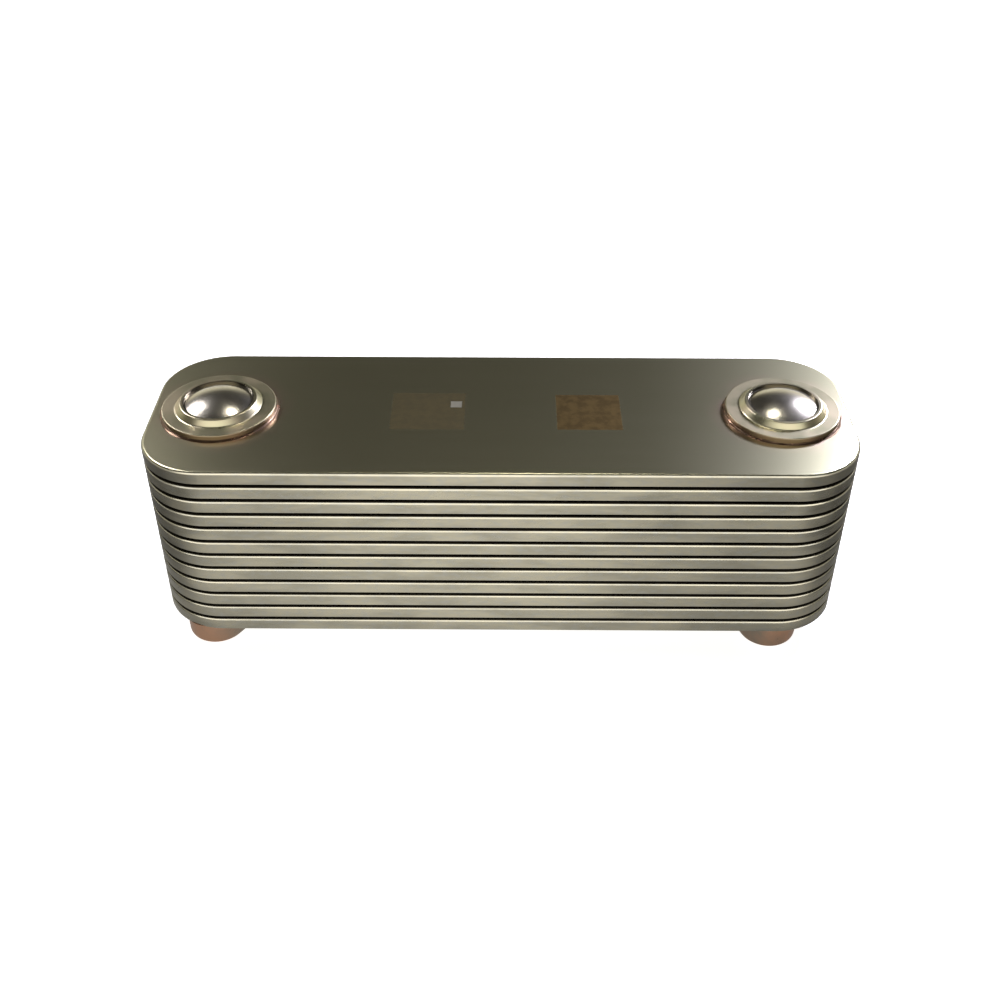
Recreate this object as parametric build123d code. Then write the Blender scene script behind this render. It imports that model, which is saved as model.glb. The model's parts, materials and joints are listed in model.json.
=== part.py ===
"""Core of a brazed plate heat exchanger, as used to cool engine oil with coolant.

Twelve flat oil cells are stacked with open water gaps between them.  Each cell is
an upper plate whose skirt closes over a lower plate, with a corrugated turbulator
inside.  Two port columns run up through the stack: a port flange with two bolt
lobes opens each column underneath, and a ring with a domed plug closes it on top.

Frame: X along the core, Y across it, +Z up.  The origin is at the middle of the
footprint, on the surface that the undersides of the port flanges stand on.
All sizes are in millimetres.
"""

import os

from build123d import *

# Core
CORE_LENGTH = 250.0
CORE_WIDTH = 77.6
CORNER_RADIUS = 23.5
CELL_COUNT = 12
CELL_HEIGHT = 4.67
WATER_GAP = 1.30

# Plates
SHEET = 0.60  # sheet thickness of the upper and lower plates
PRESS_RADIUS = 1.10  # outside radius of every pressed edge
BRAZE_GAP = 0.05  # all round, between a skirt and the rim nested in it
RIM_HEIGHT = 2.80  # upturned rim of a lower plate

# Dimples that hold the water gaps open
DIMPLE_FOOT_RADIUS = 3.6
DIMPLE_HEAD_RADIUS = 1.9
DIMPLE_PITCH = 24.0
DIMPLE_EDGE_MARGIN = 14.0  # from a dimple's centre to the edge of the plate
DIMPLE_PORT_MARGIN = 10.0  # from a dimple's centre to the foot of a gap ring

# Port columns
PORT_INSET = 24.3  # from the end of the core to the axis of the port
PORT_HOLE_RADIUS = 13.0  # in the plates and in the rings between them
GAP_RING_WIDTH = 4.0
SPACER_WIDTH = 3.0
SPACER_WINDOW_WIDTH = 5.0
SPACER_WINDOW_HEIGHT = 1.9
SPACER_WINDOW_PAIRS = 3

# Turbulators
FIN_SHEET = 0.25
FIN_HALF_PITCH = 2.40
FIN_CLEARANCE = 0.50  # to the rim and to the spacers

# Rings and domed plugs on top
CAP_RADIUS = 20.3
CAP_FLANGE_HEIGHT = 2.30
CAP_EDGE_ROUND = 0.45
COLLAR_FOOT_RADIUS = 15.4
COLLAR_CREST_RADIUS = 13.6
COLLAR_HEIGHT = 2.20  # crest above the cap's flange
COLLAR_FOOT_FILLET = 1.0
COLLAR_CREST_ROUND = 0.55
CAP_BORE_RADIUS = 11.5
SEAT_RADIUS = 12.4
SEAT_DEPTH = 2.5  # below the crest
PLUG_CLEARANCE = 0.10
PLUG_EDGE_HEIGHT = 1.70  # straight wall of the plug in its seat
DOME_RADIUS = 11.6  # where the dome meets the plug's edge
DOME_HEIGHT = 2.60
PLUG_SHEET = 1.20

# Port flanges underneath
FLANGE_HEIGHT = 10.0
FLANGE_BODY_RADIUS = 20.3
LOBE_RADIUS = 10.7
LOBE_EDGE_INSET = 1.1  # from the lobe to the long side of the core
FLANGE_EDGE_ROUND = 2.5
PORT_BORE_RADIUS = 12.0
BORE_CHAMFER = 0.8
BOLT_HOLE_RADIUS = 4.25  # tapping size of an M10 thread
BOLT_CHAMFER = 0.8
SEAL_LAND = 1.5  # between the port bore and the seal groove
GROOVE_WIDTH = 2.4
GROOVE_DEPTH = 1.8
LEFT_FLANGE_TURN = -12.5  # degrees about +Z, so that the core fits one way round
RIGHT_FLANGE_TURN = 0.0
SPIGOT_CLEARANCE = 0.10  # between a spigot and the port hole that locates it

# Braze metal
CAP_BEAD = 0.6
FLANGE_BEAD = 0.9
BEAD_EDGE = 0.05  # thickness of a flange's bead where it runs out on the plate

# Worked out from the sizes above
CELL_PITCH = CELL_HEIGHT + WATER_GAP
STACK_FOOT = FLANGE_HEIGHT
STACK_TOP = STACK_FOOT + CELL_COUNT * CELL_PITCH - WATER_GAP
PORT_X = CORE_LENGTH / 2 - PORT_INSET
NEST_INSET = SHEET + BRAZE_GAP
CELL_ROOM = CELL_HEIGHT - 2 * SHEET
SPIGOT_RADIUS = PORT_HOLE_RADIUS - SPIGOT_CLEARANCE
BOLT_RADIUS = CORE_WIDTH / 2 - LOBE_EDGE_INSET - LOBE_RADIUS
GAP_RING_RADIUS = PORT_HOLE_RADIUS + GAP_RING_WIDTH
SPACER_RADIUS = PORT_HOLE_RADIUS + SPACER_WIDTH
CREST_HEIGHT = CAP_FLANGE_HEIGHT + COLLAR_HEIGHT
SIDES = (("left", -1, LEFT_FLANGE_TURN), ("right", 1, RIGHT_FLANGE_TURN))


def cell_foot(number):
    """Height of the underside of a cell; cell 1 is the lowest."""
    return STACK_FOOT + (number - 1) * CELL_PITCH


def at_ports(shape, height=0.0):
    """Two copies of a shape, one on each port's axis, as separate solids."""
    return [Pos(side * PORT_X, 0, height) * shape for _, side, _ in SIDES]


def pill(inset, height):
    """Block with the core's outline, drawn in by an inset, standing on z = 0."""
    outline = RectangleRounded(
        CORE_LENGTH - 2 * inset, CORE_WIDTH - 2 * inset, CORNER_RADIUS - inset
    )
    return extrude(outline, height)


def tray(inset, height):
    """Pressed tray with its floor on top and its wall hanging down to z = 0."""
    outer = pill(inset, height)
    outer = fillet(outer.faces().sort_by(Axis.Z)[-1].edges(), PRESS_RADIUS)
    inner = pill(inset + SHEET, height - SHEET)
    inner = fillet(inner.faces().sort_by(Axis.Z)[-1].edges(), PRESS_RADIUS - SHEET)
    return outer - inner


def spread(reach):
    """Evenly pitched positions from -reach to reach, centred on zero."""
    steps = int(2 * reach / DIMPLE_PITCH)
    return [(index - steps / 2) * DIMPLE_PITCH for index in range(steps + 1)]


def dimple_places():
    """Centres of the dimples, between the two gap rings."""
    reach_x = PORT_X - GAP_RING_RADIUS - DIMPLE_PORT_MARGIN
    reach_y = CORE_WIDTH / 2 - DIMPLE_EDGE_MARGIN
    return [(x, y) for x in spread(reach_x) for y in spread(reach_y)]


def plate(inset, height, dimpled):
    """Plate with its flat face on top, pierced for the ports."""
    body = tray(inset, height)
    if dimpled:
        rise = WATER_GAP / 2
        bump = Pos(0, 0, rise / 2) * Cone(DIMPLE_FOOT_RADIUS, DIMPLE_HEAD_RADIUS, rise)
        places = dimple_places()
        body += [Pos(x, y, height) * bump for x, y in places]
        body -= [Pos(x, y, height - SHEET) * bump for x, y in places]
    hole = Cylinder(PORT_HOLE_RADIUS, 4 * SHEET)
    return body - at_ports(hole, height)


def upper_plate(dimpled):
    """Upper plate of a cell, with the cell's underside at z = 0."""
    return plate(0.0, CELL_HEIGHT, dimpled)


def lower_plate(dimpled):
    """Lower plate of a cell: the same pressing, turned over and nested in the skirt."""
    turned = Rot(180, 0, 0) * plate(NEST_INSET, RIM_HEIGHT, dimpled)
    return Pos(0, 0, RIM_HEIGHT) * turned


def fin_section():
    """Closed outline of a square wave of thin sheet, in Y and Z, standing on z = 0."""
    width = CORE_WIDTH - 2 * (NEST_INSET + SHEET + FIN_CLEARANCE)
    count = int(width / FIN_HALF_PITCH)
    start = -count * FIN_HALF_PITCH / 2
    half = FIN_SHEET / 2
    top, bottom = [], []
    under_crest = CELL_ROOM - FIN_SHEET
    for index in range(count):
        near = start + index * FIN_HALF_PITCH
        far = near + FIN_HALF_PITCH
        if index % 2 == 0:
            top += [(near - half, CELL_ROOM), (far + half, CELL_ROOM)]
            bottom += [(near + half, under_crest), (far - half, under_crest)]
        else:
            top += [(near + half, FIN_SHEET), (far - half, FIN_SHEET)]
            bottom += [(near - half, 0), (far + half, 0)]
    return top + bottom[::-1]


def turbulator():
    """Corrugated sheet that fills a cell, with its channels along the core."""
    section = Plane.YZ * make_face(Polyline(*fin_section(), close=True))
    sheet = extrude(section, CORE_LENGTH / 2, both=True)
    sheet &= pill(NEST_INSET + SHEET + FIN_CLEARANCE, CELL_ROOM)
    return sheet - at_ports(Cylinder(SPACER_RADIUS + FIN_CLEARANCE, 4 * CELL_ROOM))


def ring(outer_radius, inner_radius, height):
    """Plain ring standing on z = 0."""
    return extrude(Circle(outer_radius) - Circle(inner_radius), height)


def cell_spacer():
    """Ring that keeps a cell open round its port, with windows that let the oil in."""
    body = ring(SPACER_RADIUS, PORT_HOLE_RADIUS, CELL_ROOM)
    slot = Box(2.5 * SPACER_RADIUS, SPACER_WINDOW_WIDTH, SPACER_WINDOW_HEIGHT)
    step = 180 / SPACER_WINDOW_PAIRS
    turns = [Rot(0, 0, pair * step) for pair in range(SPACER_WINDOW_PAIRS)]
    return body - [Pos(0, 0, CELL_ROOM / 2) * turn * slot for turn in turns]


def cap_ring():
    """Ring that seats on the top plate, with a raised collar round its plug."""
    profile = make_face(
        Polyline(
            (CAP_BORE_RADIUS, -SHEET),
            (SPIGOT_RADIUS, -SHEET),
            (SPIGOT_RADIUS, 0),
            (CAP_RADIUS, 0),
            (CAP_RADIUS, CAP_FLANGE_HEIGHT),
            (COLLAR_FOOT_RADIUS, CAP_FLANGE_HEIGHT),
            (COLLAR_CREST_RADIUS, CREST_HEIGHT),
            (SEAT_RADIUS, CREST_HEIGHT),
            (SEAT_RADIUS, CREST_HEIGHT - SEAT_DEPTH),
            (CAP_BORE_RADIUS, CREST_HEIGHT - SEAT_DEPTH),
            close=True,
        )
    )
    rounds = (
        ((CAP_RADIUS, CAP_FLANGE_HEIGHT), CAP_EDGE_ROUND),
        ((COLLAR_FOOT_RADIUS, CAP_FLANGE_HEIGHT), COLLAR_FOOT_FILLET),
        ((COLLAR_CREST_RADIUS, CREST_HEIGHT), COLLAR_CREST_ROUND),
    )
    for place, radius in rounds:
        corner = profile.vertices().sort_by_distance(place)[0]
        profile = fillet(corner, radius)
    return revolve(Plane.XZ * profile, Axis.Z)


def dome_height_at(radius, dome_radius, rise):
    """Height above the edge of a shallow spherical dome, at a radius from its axis."""
    sphere = (dome_radius**2 + rise**2) / (2 * rise)
    return (sphere**2 - radius**2) ** 0.5 - (sphere - rise)


def dome_plug():
    """Domed plug of a cap, standing on the floor of its seat at z = 0."""
    wall = SEAT_RADIUS - PLUG_CLEARANCE
    inside = DOME_RADIUS - PLUG_SHEET
    mid = DOME_RADIUS / 2
    apex = PLUG_EDGE_HEIGHT + DOME_HEIGHT
    inner_rise = DOME_HEIGHT - 0.2 * PLUG_SHEET
    inner_foot = apex - PLUG_SHEET - inner_rise
    outer_mid = (mid, PLUG_EDGE_HEIGHT + dome_height_at(mid, DOME_RADIUS, DOME_HEIGHT))
    inner_mid = (mid, inner_foot + dome_height_at(mid, inside, inner_rise))
    outline = [
        Polyline((0, apex - PLUG_SHEET), (0, apex)),
        ThreePointArc((0, apex), outer_mid, (DOME_RADIUS, PLUG_EDGE_HEIGHT)),
        Polyline(
            (DOME_RADIUS, PLUG_EDGE_HEIGHT),
            (wall, PLUG_EDGE_HEIGHT),
            (wall, 0),
            (inside, 0),
            (inside, inner_foot),
        ),
        ThreePointArc((inside, inner_foot), inner_mid, (0, apex - PLUG_SHEET)),
    ]
    return revolve(Plane.XZ * make_face(outline), Axis.Z)


def flange_outline(margin=0.0):
    """Round body with a bolt lobe on each side, all joined by straight tangents."""
    lobes = [Pos(0, side * BOLT_RADIUS) * Circle(LOBE_RADIUS + margin) for side in (-1, 1)]
    circles = [Circle(FLANGE_BODY_RADIUS + margin), *lobes]
    return make_hull([edge for circle in circles for edge in circle.edges()])


def bolt_places():
    """Centres of the two bolt holes of a port flange that isn't turned."""
    return [(0, side * BOLT_RADIUS) for side in (-1, 1)]


def chamfered_drill(radius, chamfer_size):
    """Cutter for a through hole in a port flange, with its lower mouth chamfered."""
    sink = Cone(radius + 2 * chamfer_size, radius, 2 * chamfer_size)
    return Cylinder(radius, 4 * FLANGE_HEIGHT) + sink


def port_flange():
    """Thick port flange standing on its seal face, with a spigot on top."""
    body = extrude(flange_outline(), FLANGE_HEIGHT)
    body = fillet(body.faces().sort_by(Axis.Z)[0].edges(), FLANGE_EDGE_ROUND)
    body += extrude(Circle(SPIGOT_RADIUS), FLANGE_HEIGHT + SHEET)
    groove_inner = PORT_BORE_RADIUS + SEAL_LAND
    body -= ring(groove_inner + GROOVE_WIDTH, groove_inner, GROOVE_DEPTH)
    body -= chamfered_drill(PORT_BORE_RADIUS, BORE_CHAMFER)
    drill = chamfered_drill(BOLT_HOLE_RADIUS, BOLT_CHAMFER)
    return body - [Pos(x, y) * drill for x, y in bolt_places()]


def cap_bead():
    """Braze fillet round the foot of a cap ring, standing on z = 0."""
    section = Polyline(
        (CAP_RADIUS, 0), (CAP_RADIUS + CAP_BEAD, 0), (CAP_RADIUS, CAP_BEAD), close=True
    )
    return revolve(Plane.XZ * make_face(section), Axis.Z)


def flange_bead():
    """Braze fillet round the top edge of a port flange, hanging from z = 0."""
    wedge = extrude(flange_outline(FLANGE_BEAD), FLANGE_BEAD + BEAD_EDGE)
    wedge = chamfer(wedge.faces().sort_by(Axis.Z)[0].edges(), FLANGE_BEAD)
    core = extrude(flange_outline(), FLANGE_BEAD + BEAD_EDGE)
    return Pos(0, 0, -FLANGE_BEAD - BEAD_EDGE) * (wedge - core)


def write(name, solids):
    """Write one named piece, or one group of like pieces, to its own file."""
    shape = Compound(children=solids) if isinstance(solids, list) else solids
    export_step(shape, f"parts/{name}.step")


def write_cells():
    """The plates and turbulators of every cell; outer faces of the stack stay plain."""
    dimpled_upper, plain_upper = upper_plate(True), upper_plate(False)
    dimpled_lower, plain_lower = lower_plate(True), lower_plate(False)
    fins = turbulator()
    for number in range(1, CELL_COUNT + 1):
        place = Pos(0, 0, cell_foot(number))
        upper = plain_upper if number == CELL_COUNT else dimpled_upper
        lower = plain_lower if number == 1 else dimpled_lower
        write(f"cell_{number:02d}_upper_plate", place * upper)
        write(f"cell_{number:02d}_lower_plate", place * lower)
        write(f"cell_{number:02d}_turbulator", Pos(0, 0, SHEET) * place * fins)


def write_port_columns():
    """Rings between the cells, and the windowed spacers inside them."""
    gap_ring = ring(GAP_RING_RADIUS, PORT_HOLE_RADIUS, WATER_GAP)
    for number in range(1, CELL_COUNT):
        write(f"gap_{number:02d}_port_rings", at_ports(gap_ring, cell_foot(number) + CELL_HEIGHT))
    spacer = cell_spacer()
    for name, side, _ in SIDES:
        heights = [cell_foot(number) + SHEET for number in range(1, CELL_COUNT + 1)]
        write(f"{name}_cell_spacers", [Pos(side * PORT_X, 0, height) * spacer for height in heights])


def write_ends():
    """The caps on top and the port flanges underneath, with their braze metal."""
    cap, bead, plug = cap_ring(), cap_bead(), dome_plug()
    flange, foot_bead = port_flange(), flange_bead()
    seat_floor = STACK_TOP + CREST_HEIGHT - SEAT_DEPTH
    for name, side, turn in SIDES:
        axis = Pos(side * PORT_X, 0, 0)
        write(f"{name}_cap_ring", axis * Pos(0, 0, STACK_TOP) * cap)
        write(f"{name}_cap_braze_fillet", axis * Pos(0, 0, STACK_TOP) * bead)
        write(f"{name}_cap_dome_plug", axis * Pos(0, 0, seat_floor) * plug)
        write(f"{name}_port_flange", axis * Rot(0, 0, turn) * flange)
        write(f"{name}_flange_braze_fillet", axis * Pos(0, 0, STACK_FOOT) * Rot(0, 0, turn) * foot_bead)


os.makedirs("parts", exist_ok=True)
write_cells()
write_port_columns()
write_ends()
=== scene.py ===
"""Studio picture of the brazed oil cooler core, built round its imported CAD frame.

All lengths are in metres, in the frame of the CAD model: X along the core, Y across
it, +Z up, with the port flanges standing on z = 0.
"""

import json
import math

import bpy
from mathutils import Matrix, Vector, noise


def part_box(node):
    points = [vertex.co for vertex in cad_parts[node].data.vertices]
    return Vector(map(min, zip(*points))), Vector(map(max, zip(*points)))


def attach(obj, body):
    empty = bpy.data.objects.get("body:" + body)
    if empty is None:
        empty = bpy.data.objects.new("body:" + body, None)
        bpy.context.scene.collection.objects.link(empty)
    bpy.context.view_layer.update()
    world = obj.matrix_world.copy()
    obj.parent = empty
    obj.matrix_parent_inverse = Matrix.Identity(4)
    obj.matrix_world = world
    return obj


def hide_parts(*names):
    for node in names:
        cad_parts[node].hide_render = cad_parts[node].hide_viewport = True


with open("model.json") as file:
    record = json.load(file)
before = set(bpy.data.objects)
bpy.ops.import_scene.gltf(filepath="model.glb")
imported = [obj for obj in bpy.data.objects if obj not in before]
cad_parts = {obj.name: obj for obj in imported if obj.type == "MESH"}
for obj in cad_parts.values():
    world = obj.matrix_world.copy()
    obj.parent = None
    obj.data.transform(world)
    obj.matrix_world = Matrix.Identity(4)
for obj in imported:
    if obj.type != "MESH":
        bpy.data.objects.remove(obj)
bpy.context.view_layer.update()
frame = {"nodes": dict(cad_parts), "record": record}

MM = 0.001
NODES = frame["nodes"]
TOP_PLATE = "cell_12_upper_plate"
PLATE_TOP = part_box(TOP_PLATE)[1].z
CAP_BOXES = {side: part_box(f"{side}_cap_ring") for side in ("left", "right")}
PORTS = {side: (box[0] + box[1]) / 2 for side, box in CAP_BOXES.items()}  # middles of the caps
CAP_RADIUS = (CAP_BOXES["left"][1].x - CAP_BOXES["left"][0].x) / 2


# ---------------------------------------------------------------- material graphs

class Graph:
    """A material's node tree, with short calls for the nodes used here."""

    def __init__(self, name, metallic=1.0):
        self.material = bpy.data.materials.new(name)
        self.material.use_nodes = True
        self.tree = self.material.node_tree
        self.shader = self.tree.nodes["Principled BSDF"]
        self.shader.inputs["Metallic"].default_value = metallic
        coordinates = self.tree.nodes.new("ShaderNodeTexCoord").outputs
        self.place = coordinates["Object"]
        self.facing = coordinates["Normal"]

    def node(self, kind, inputs=(), **settings):
        """Add a node; inputs maps a socket's name or index to a value or to a socket."""
        made = self.tree.nodes.new(kind)
        for key, value in settings.items():
            setattr(made, key, value)
        for key, value in dict(inputs).items():
            self.feed(made.inputs[key], value)
        return made

    def feed(self, socket, value):
        """Link a socket, or set its value."""
        if isinstance(value, bpy.types.NodeSocket):
            self.tree.links.new(value, socket)
        else:
            socket.default_value = value

    def math(self, operation, first, second=0.0):
        return self.node("ShaderNodeMath", {0: first, 1: second}, operation=operation).outputs[0]

    def scaled(self, scale):
        """Position multiplied axis by axis, to stretch a pattern."""
        inputs = {0: self.place, 1: scale}
        return self.node("ShaderNodeVectorMath", inputs, operation="MULTIPLY").outputs[0]

    def noise(self, scale, detail=3.0, roughness=0.5, distortion=0.0):
        """Noise from 0 to 1; scale is one number or three, in cycles per metre."""
        stretch = scale if isinstance(scale, tuple) else (scale, scale, scale)
        inputs = {
            "Vector": self.scaled(stretch),
            "Scale": 1.0,
            "Detail": detail,
            "Roughness": roughness,
            "Distortion": distortion,
        }
        return self.node("ShaderNodeTexNoise", inputs).outputs["Fac"]

    def between(self, value, low, high, to_low=0.0, to_high=1.0):
        """Smooth step of a value from one range into another."""
        inputs = {"Value": value, "From Min": low, "From Max": high, "To Min": to_low, "To Max": to_high}
        return self.node("ShaderNodeMapRange", inputs, interpolation_type="SMOOTHSTEP").outputs[0]

    def blend(self, factor, first, second):
        """Mix of two colours."""
        made = self.node("ShaderNodeMix", {"Factor": factor}, data_type="RGBA")
        self.feed(made.inputs[6], first if isinstance(first, bpy.types.NodeSocket) else (*first, 1.0))
        self.feed(made.inputs[7], second if isinstance(second, bpy.types.NodeSocket) else (*second, 1.0))
        return made.outputs[2]

    def bump(self, height, distance, onto=None):
        """Surface normal disturbed by a height field; distance is in metres."""
        inputs = {"Height": height, "Distance": distance, "Strength": 1.0}
        if onto is not None:
            inputs["Normal"] = onto
        return self.node("ShaderNodeBump", inputs).outputs[0]

    def axes(self, place=None):
        """The three numbers of a position."""
        return self.node("ShaderNodeSeparateXYZ", {0: place or self.place}).outputs

    def from_axis(self, centre):
        """Distance from the upright axis through a point."""
        x, y, _ = self.axes()
        dx = self.math("SUBTRACT", x, centre.x)
        dy = self.math("SUBTRACT", y, centre.y)
        squares = [self.math("MULTIPLY", side, side) for side in (dx, dy)]
        return self.math("SQRT", self.math("ADD", *squares))

    def finish(self, colour=None, roughness=None, normal=None):
        """Connect what the shader takes, and hand back the material."""
        for name, value in (("Base Color", colour), ("Roughness", roughness), ("Normal", normal)):
            if value is not None:
                self.feed(self.shader.inputs[name], value)
        return self.material


# ---------------------------------------------------------------- materials

BOW_START = 50 * MM   # the ends of the top plate droop a little, from here outward
BOW_RADIUS = 720 * MM

STEEL_PALE = (0.44, 0.41, 0.315)
STEEL_DEEP = (0.33, 0.312, 0.248)
STEEL_GREY = (0.36, 0.362, 0.335)
PLATE_TONE = (0.41, 0.387, 0.25)
PLATE_WARM = (0.43, 0.402, 0.265)
STRAW = (0.50, 0.41, 0.29)
ROSE = (0.50, 0.36, 0.30)
BARE_METAL = (0.80, 0.76, 0.66)
PLUG_PALE = (0.60, 0.55, 0.46)
PLUG_DEEP = (0.51, 0.47, 0.39)
ETCH = (0.115, 0.064, 0.014)
ETCH_WORN = (0.185, 0.112, 0.032)
WASH_THIN = (0.36, 0.30, 0.235)
WASH_FULL = (0.56, 0.33, 0.215)
COPPER = (0.62, 0.33, 0.22)
COPPER_DARK = (0.13, 0.085, 0.055)
# Soot colour of the dark rings, also used for painted shade in the gaps and in the recess round each
# plug
SOOT_AND_SHADE = (0.055, 0.048, 0.038)

# Etched marking fields on the top plate, in mm: x, y, half length, half width, and depth 0 to 1
ETCH_FIELDS = ((-26.0, 0.0, 13.2, 12.0, 0.55), (31.5, -0.3, 11.6, 11.5, 0.9))
ETCH_CHIP = (-16.0, 4.4, 2.0)  # the bare square beside them: x, y and half side


def sheet_colour(graph):
    """Mottled warm grey of sheet that has been through a brazing furnace."""
    cloud = graph.noise((30.0, 30.0, 130.0), detail=4.0, roughness=0.6, distortion=0.3)
    fine = graph.noise((380.0, 700.0, 700.0), detail=2.0)
    tone = graph.blend(graph.between(cloud, 0.36, 0.62), STEEL_DEEP, STEEL_PALE)
    return graph.blend(graph.between(fine, 0.42, 0.72, 0.0, 0.45), tone, STEEL_GREY)


def sheet_normal(graph):
    """Rolling grain along the core, and the faint waviness of thin pressed sheet."""
    grain = graph.noise((140.0, 3800.0, 3800.0), detail=3.0, roughness=0.6)
    waves = graph.noise((34.0, 50.0, 90.0), detail=1.0)
    return graph.bump(grain, 0.003 * MM, onto=graph.bump(waves, 0.10 * MM))


def sheet_material():
    """Cold-rolled stainless sheet of the cells, with painted shade on the upward faces low down in the
    gaps.
    """
    graph = Graph("satin_stainless_sheet")
    cloud = graph.noise((60.0, 60.0, 200.0), detail=4.0)
    upward = graph.axes(graph.facing)[2]
    # Painted shade: faces turned upward, low in the gaps, are blended to soot-dark colour to widen the
    # dark gap lines
    tone = graph.blend(graph.between(upward, 0.56, 0.76), sheet_colour(graph), SOOT_AND_SHADE)
    return graph.finish(tone, graph.between(cloud, 0.3, 0.7, 0.22, 0.34), sheet_normal(graph))


def near(graph, x, y, reach, fade):
    """Mask that is 1 within a reach of an upright line, fading to 0."""
    return graph.between(graph.from_axis(Vector((x, y, 0.0))), reach, reach + fade, 1.0, 0.0)


def field_mask(graph, x, y, half_x, half_y, edge):
    """Mask of an upright rectangle with slightly worn edges."""
    px, py, _ = graph.axes()
    worn = graph.math("MULTIPLY", graph.math("SUBTRACT", graph.noise(900.0, detail=3.0), 0.5), edge)
    masks = []
    for axis, middle, half in ((px, x, half_x), (py, y, half_y)):
        away = graph.math("ADD", graph.math("ABSOLUTE", graph.math("SUBTRACT", axis, middle)), worn)
        masks.append(graph.between(away, half - edge / 2, half + edge / 2, 1.0, 0.0))
    return graph.math("MULTIPLY", *masks)


def heat_tint(graph, tone):
    """Straw and rose bloom left on the plate where each cap was brazed on."""
    bloom = graph.noise(70.0, detail=3.0)
    for port in PORTS.values():
        ring = near(graph, port.x, port.y, CAP_RADIUS, 9 * MM)
        straw = graph.between(bloom, 0.35, 0.65, 0.15, 0.75)
        tone = graph.blend(graph.math("MULTIPLY", ring, straw), tone, STRAW)
        rim = near(graph, port.x, port.y, CAP_RADIUS + 0.4 * MM, 2.6 * MM)
        rose = graph.between(bloom, 0.42, 0.6, 0.1, 0.8)
        tone = graph.blend(graph.math("MULTIPLY", rim, rose), tone, ROSE)
    return tone


def top_plate_material():
    """Brushed top plate with two generic etched marking fields and brazing tints."""
    graph = Graph("brushed_top_plate")
    streak = graph.noise((18.0, 1500.0, 1500.0), detail=4.0, roughness=0.65)
    cloud = graph.noise(24.0, detail=3.0)
    tone = graph.blend(graph.between(cloud, 0.35, 0.65, 0.0, 0.5), PLATE_TONE, PLATE_WARM)
    tone = graph.blend(graph.between(streak, 0.35, 0.7, 0.0, 0.07), tone, STEEL_DEEP)
    tone = heat_tint(graph, tone)
    upward = graph.axes(graph.facing)[2]
    tone = graph.blend(graph.between(upward, 0.60, 0.95), sheet_colour(graph), tone)
    mottle = graph.noise(260.0, detail=3.0, roughness=0.65)
    stain = graph.blend(graph.between(mottle, 0.35, 0.65), ETCH, ETCH_WORN)
    etched = 0.0
    for x, y, half_x, half_y, depth in ETCH_FIELDS:
        mask = field_mask(graph, x * MM, y * MM, half_x * MM, half_y * MM, 0.7 * MM)
        mask = graph.math("MULTIPLY", mask, depth)
        tone = graph.blend(mask, tone, stain)
        etched = graph.math("ADD", etched, mask)
    x, y, half = (size * MM for size in ETCH_CHIP)
    chip = field_mask(graph, x, y, half, half, 0.3 * MM)
    tone = graph.blend(chip, tone, BARE_METAL)
    satin = graph.between(streak, 0.3, 0.7, 0.28, 0.29)
    satin = graph.math("ADD", satin, graph.math("MULTIPLY", etched, 0.12))
    waves = graph.noise((9.0, 16.0, 1.0), detail=1.0)
    grain = graph.noise((60.0, 3600.0, 1.0), detail=3.0, roughness=0.6)
    x = graph.axes()[0]
    past = graph.math("MAXIMUM", graph.math("SUBTRACT", graph.math("ABSOLUTE", x), BOW_START), 0.0)
    bow = graph.math("MULTIPLY", graph.math("MULTIPLY", past, past), -0.5 / BOW_RADIUS)
    normal = graph.bump(bow, 1.0, onto=graph.bump(waves, 0.10 * MM))
    normal = graph.bump(grain, 0.0002 * MM, onto=normal)
    return graph.finish(tone, satin, normal)


def cap_material():
    """Turned stainless of the cap rings, satin on the flange and brighter on the collar."""
    graph = Graph("turned_stainless_cap")
    nearest = graph.math("MINIMUM", *[graph.from_axis(port) for port in PORTS.values()])
    turned = graph.node(
        "ShaderNodeTexNoise",
        {"W": graph.math("MULTIPLY", nearest, 5200.0), "Scale": 1.0, "Detail": 2.0},
        noise_dimensions="1D",
    ).outputs["Fac"]
    cloud = graph.noise(90.0, detail=3.0)
    tone = graph.blend(graph.between(cloud, 0.35, 0.65, 0.0, 0.6), PLATE_TONE, STRAW)
    foot = graph.between(nearest, CAP_RADIUS - 0.25 * MM, CAP_RADIUS - 0.02 * MM)
    tone = graph.blend(graph.math("MULTIPLY", foot, 0.85), tone, COPPER_DARK)
    # Painted shade: the recess round each plug is darkened towards soot colour
    recess_shade = graph.between(nearest, 12.3 * MM, 12.8 * MM, 0.85, 0.0)
    tone = graph.blend(recess_shade, tone, SOOT_AND_SHADE)
    flat = graph.between(nearest, 15.6 * MM, 16.4 * MM, 0.30, 0.36)
    satin = graph.math("ADD", flat, graph.between(cloud, 0.3, 0.7, -0.03, 0.05))
    return graph.finish(tone, satin, graph.bump(turned, 0.0015 * MM))


def plug_material():
    """Bright drawn steel of the domed plugs."""
    graph = Graph("bright_domed_plug")
    cloud = graph.noise(110.0, detail=3.0)
    tone = graph.blend(graph.between(cloud, 0.35, 0.65), PLUG_PALE, PLUG_DEEP)
    return graph.finish(tone, graph.between(cloud, 0.3, 0.7, 0.19, 0.26), graph.bump(cloud, 0.02 * MM))


def copper_washed_material():
    """Steel of the port flanges under a thin patchy wash of copper."""
    graph = Graph("copper_washed_steel")
    patches = graph.noise(60.0, detail=4.0, roughness=0.6, distortion=0.5)
    x, y, z = graph.axes()
    outward = graph.between(graph.math("ABSOLUTE", x), 94 * MM, 104 * MM)
    wash = graph.between(patches, 0.35, 0.65, -0.2, 0.45)
    wash = graph.math("ADD", graph.math("MULTIPLY", outward, 0.75), wash)
    tone = graph.blend(wash, WASH_THIN, WASH_FULL)
    satin = graph.between(patches, 0.3, 0.7, 0.24, 0.40)
    return graph.finish(tone, satin, graph.bump(graph.noise(420.0, detail=3.0), 0.012 * MM))


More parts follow.
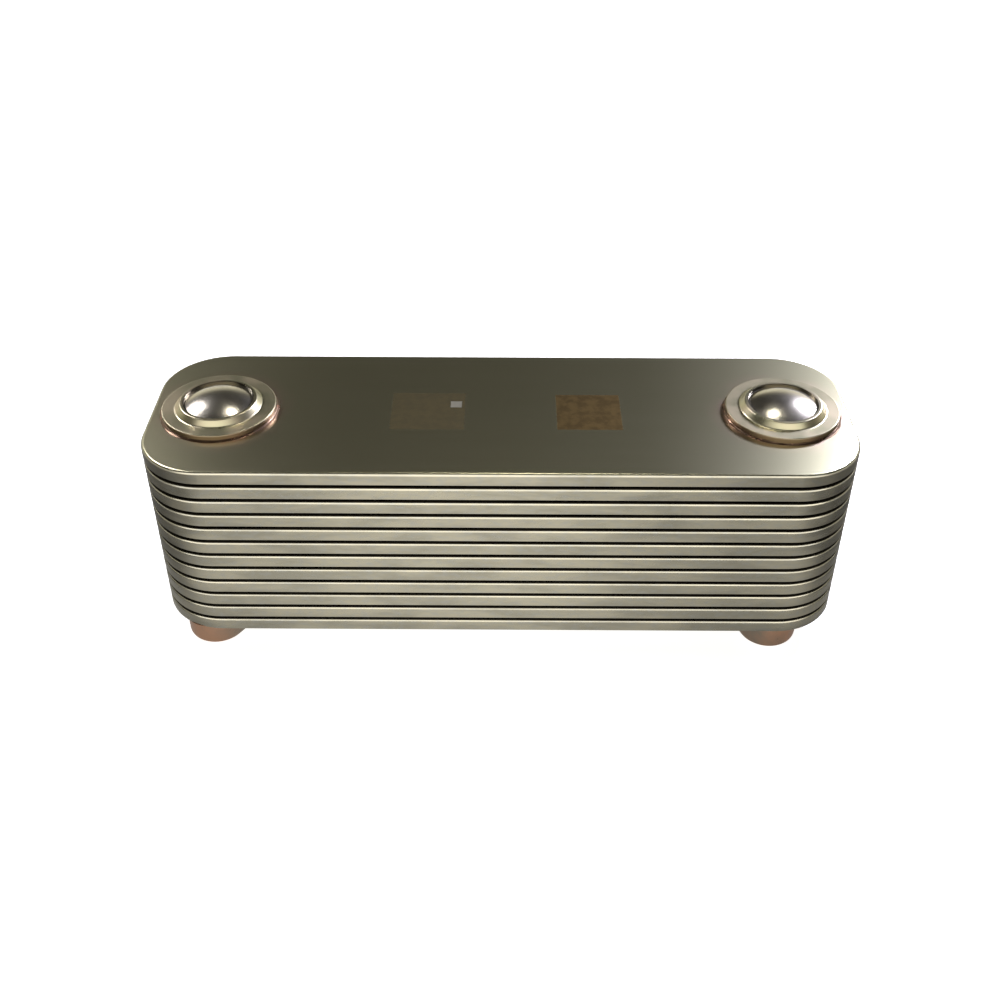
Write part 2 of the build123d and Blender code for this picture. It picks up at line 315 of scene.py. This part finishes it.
def braze_material(bright_level=0.58):
    """Copper braze, dulled where it ran thin; the level given is the one above which it stays bright,
    and a lower level makes a brighter copy that paints a highlight.
    """
    graph = Graph("copper_braze")
    patches = graph.noise(120.0, detail=4.0, roughness=0.65)
    tone = graph.blend(graph.between(patches, bright_level - 0.08, bright_level + 0.08), COPPER_DARK, COPPER)
    satin = graph.between(patches, 0.3, 0.7, 0.38, 0.24)
    return graph.finish(tone, satin, graph.bump(patches, 0.05 * MM))


def ring_material():
    """Dark soiled steel of the rings deep in the gaps."""
    graph = Graph("soiled_ring_steel")
    patches = graph.noise(150.0, detail=3.0)
    satin = graph.between(patches, 0.3, 0.7, 0.35, 0.55)
    return graph.finish(graph.blend(patches, SOOT_AND_SHADE, STEEL_DEEP), satin)


def fin_material():
    """Bare rolled sheet of the turbulators inside the cells."""
    graph = Graph("rolled_fin_sheet")
    grain = graph.noise((900.0, 900.0, 900.0), detail=2.0)
    satin = graph.between(grain, 0.3, 0.7, 0.28, 0.42)
    return graph.finish(graph.blend(grain, STEEL_DEEP, STEEL_GREY), satin)


SLOT_MATERIALS = {
    "stainless_plate": sheet_material,
    "fin_sheet": fin_material,
    "port_ring_steel": ring_material,
    "stainless_cap": cap_material,
    "polished_plug": plug_material,
    "copper_washed_steel": copper_washed_material,
    "copper_braze": braze_material,
}


def paint_nodes():
    """Give each CAD node the material of its slot, or one of its own."""
    by_slot = {name: make() for name, make in SLOT_MATERIALS.items()}
    # Painted highlight: the flange fillets get a brighter copy of the braze, to show the highlight along
    # the top of the port flanges
    highlight_braze = braze_material(bright_level=0.40)
    own = {f"{side}_flange_braze_fillet": highlight_braze for side in PORTS}
    own[TOP_PLATE] = top_plate_material()
    for part in frame["record"]["subparts"]:
        node = part["node"]
        material = own.get(node, by_slot[part["material_slot"]])
        NODES[node].data.materials.clear()
        NODES[node].data.materials.append(material)


# ---------------------------------------------------------------- detail pieces

RUN_STEPS = 288
RUN_BURIED = 0.05 * MM      # how far a run reaches in under its cap
RUN_LEAST_WIDTH = 0.3 * MM
RUN_LEAST_HEIGHT = 0.25 * MM
# Section of a run, from the cap outward: share of its width, share of its height
RUN_PROFILE = (
    (0.0, 1.0), (0.16, 0.66), (0.36, 0.40), (0.62, 0.22), (0.86, 0.10), (1.0, -0.02), (0.0, -0.02)
)


def uneven(angle, waves, seed):
    """Smooth value from -1 to 1 that goes round a circle without a seam."""
    return noise.noise(Vector((waves * math.cos(angle), waves * math.sin(angle), seed)))


def braze_run(side, seed):
    """Hand-fed braze round a cap's foot, wider and thicker in places."""
    port = PORTS[side]
    inner = CAP_RADIUS - RUN_BURIED
    points = []
    for step in range(RUN_STEPS):
        angle = 2 * math.pi * step / RUN_STEPS
        width = (0.80 + 0.55 * uneven(angle, 2.2, seed) + 0.22 * uneven(angle, 9.0, seed + 5)) * MM
        height = (0.62 + 0.35 * uneven(angle, 3.1, seed + 9) + 0.10 * uneven(angle, 16.0, seed + 3)) * MM
        for out, up in RUN_PROFILE:
            reach = CAP_RADIUS + out * max(width, RUN_LEAST_WIDTH) if out else inner
            x = port.x + reach * math.cos(angle)
            y = port.y + reach * math.sin(angle)
            points.append((x, y, PLATE_TOP + up * max(height, RUN_LEAST_HEIGHT)))
    faces = []
    count = len(RUN_PROFILE)
    for step in range(RUN_STEPS):
        here, there = step * count, (step + 1) % RUN_STEPS * count
        for k in range(count):
            after = (k + 1) % count
            faces.append((here + k, here + after, there + after, there + k))
    mesh = bpy.data.meshes.new(f"{side}_cap_braze_run")
    mesh.from_pydata(points, [], faces)
    mesh.shade_smooth()
    run = bpy.data.objects.new(f"{side}_cap_braze_run", mesh)
    bpy.context.scene.collection.objects.link(run)
    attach(run, "root")
    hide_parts(f"{side}_cap_braze_fillet")
    return run


def add_braze_runs():
    """Uneven braze round both caps, in place of the plain fillets."""
    material = braze_material()
    for seed, side in enumerate(PORTS):
        braze_run(side, 11.0 + 7.0 * seed).data.materials.append(material)


# ---------------------------------------------------------------- studio

CAMERA_PLACE = Vector((1.07, -371.2, 320.6)) * MM
CAMERA_TURN = (52.96, -0.14, 0.29)  # degrees about X, Y and Z
CAMERA_LENS = 44.29  # mm
PALE_LIGHT = (1.0, 0.985, 0.95, 1.0)
FLOOR_GLOW = 0.93
TABLE_RADIANCE = 1.05
WALL_RADIANCE = 2.6
WORLD_RAMP = {"From Min": 0.14, "From Max": 0.34, "To Min": 0.90, "To Max": 0.022}


def add_camera():
    camera = bpy.data.objects.new("camera", bpy.data.cameras.new("camera"))
    bpy.context.scene.collection.objects.link(camera)
    camera.location = CAMERA_PLACE
    camera.rotation_euler = [math.radians(turn) for turn in CAMERA_TURN]
    camera.data.lens = CAMERA_LENS
    bpy.context.scene.camera = camera


def add_sheet(name, corners):
    """Flat four-sided stage piece."""
    mesh = bpy.data.meshes.new(name)
    mesh.from_pydata(corners, [], [(0, 1, 2, 3)])
    sheet = bpy.data.objects.new(name, mesh)
    bpy.context.scene.collection.objects.link(sheet)
    return sheet


def add_card(name, corners, radiance):
    """Glowing card seen only in reflections; radiance is a number, or a function of its graph."""
    card = add_sheet(name, corners)
    graph = Graph(name, metallic=0.0)
    settings = {
        "Base Color": (0.0, 0.0, 0.0, 1.0),
        "Specular IOR Level": 0.0,
        "Emission Color": PALE_LIGHT,
        "Emission Strength": radiance(graph) if callable(radiance) else radiance,
    }
    for socket, value in settings.items():
        graph.feed(graph.shader.inputs[socket], value)
    card.data.materials.append(graph.material)
    card.visible_camera = False
    card.visible_diffuse = False
    card.visible_shadow = False
    return card


def add_floor():
    """Pale lit floor, large enough that its edge is never near."""
    half = 5.0
    corners = [(x * half, y * half, 0.0) for x, y in ((-1, -1), (1, -1), (1, 1), (-1, 1))]
    floor = add_sheet("floor", corners)
    graph = Graph("pale_floor", metallic=0.0)
    settings = {
        "Base Color": (0.80, 0.80, 0.79, 1.0),
        "Roughness": 0.8,
        "Specular IOR Level": 0.2,
        "Emission Color": (1.0, 0.995, 0.985, 1.0),
        "Emission Strength": FLOOR_GLOW,
    }
    for name, value in settings.items():
        graph.shader.inputs[name].default_value = value
    floor.data.materials.append(graph.material)


def table_radiance(graph):
    """What the core mirrors of the table: darker close by and to the sides, bright far off."""
    x, y, _ = graph.axes()
    contact = graph.between(y, -64 * MM, -40 * MM, 1.0, 0.55)
    behind = graph.between(y, 42 * MM, 90 * MM, 0.0, 0.45)
    left = graph.between(x, -150 * MM, -20 * MM, 0.68, 1.0)
    right = graph.between(x, 0.0, 100 * MM, 1.0, 0.55)
    side = graph.between(graph.math("ABSOLUTE", x), 128 * MM, 185 * MM, 1.0, 0.36)
    far = graph.between(y, -400 * MM, -170 * MM, 2.7, 1.0)
    glow = graph.math("ADD", contact, behind)
    for factor in (left, right, side, far):
        glow = graph.math("MULTIPLY", glow, factor)
    return graph.math("MULTIPLY", glow, TABLE_RADIANCE)


def add_reflections():
    """The lit table and the pale wall behind the camera, as the bright metal mirrors them."""
    table = [(-0.7, -1.0, 0.0003), (0.7, -1.0, 0.0003), (0.7, 0.9, 0.0003), (-0.7, 0.9, 0.0003)]
    add_card("mirrored_table", table, table_radiance)
    wall = [(-1.6, -1.0, 0.0), (1.6, -1.0, 0.0), (1.6, -1.0, 1.3), (-1.6, -1.0, 1.3)]
    add_card("mirrored_wall", wall, WALL_RADIANCE)


def add_panel(name, place, size, radiance, colour):
    """Square soft light of a given radiance at a place, facing the core."""
    light = bpy.data.lights.new(name, "AREA")
    light.shape = "RECTANGLE"
    light.size = light.size_y = size
    light.energy = radiance * math.pi * size * size
    light.color = colour
    lamp = bpy.data.objects.new(name, light)
    bpy.context.scene.collection.objects.link(lamp)
    lamp.location = place
    toward = Vector((0.0, 0.0, PLATE_TOP)) - Vector(place)
    lamp.rotation_euler = toward.to_track_quat("-Z", "Y").to_euler()


def add_world():
    """Pale horizon under a dim ceiling."""
    world = bpy.data.worlds.new("studio")
    bpy.context.scene.world = world
    world.use_nodes = True
    nodes, links = world.node_tree.nodes, world.node_tree.links
    place = nodes.new("ShaderNodeTexCoord").outputs["Generated"]
    split = nodes.new("ShaderNodeSeparateXYZ")
    ramp = nodes.new("ShaderNodeMapRange")
    ramp.interpolation_type = "SMOOTHSTEP"
    for name, value in WORLD_RAMP.items():
        ramp.inputs[name].default_value = value
    links.new(place, split.inputs[0])
    links.new(split.outputs["Z"], ramp.inputs["Value"])
    links.new(ramp.outputs[0], nodes["Background"].inputs["Strength"])
    nodes["Background"].inputs["Color"].default_value = (1.0, 0.965, 0.75, 1.0)


def add_lights():
    """Lamps overhead and at the back left and right."""
    add_panel("overhead_lamp", (0.035, 0.31, 0.90), 0.10, 36.0, (1.0, 0.97, 0.88))
    add_panel("back_left_lamp", (-0.68, 0.52, 0.74), 0.22, 34.0, (0.94, 0.93, 1.0))
    add_panel("back_right_lamp", (0.66, 0.66, 0.62), 0.18, 156.0, (0.90, 0.92, 1.15))


paint_nodes()
add_braze_runs()
add_camera()
add_floor()
add_reflections()
add_world()
add_lights()
bpy.context.scene.view_settings.view_transform = "Standard"
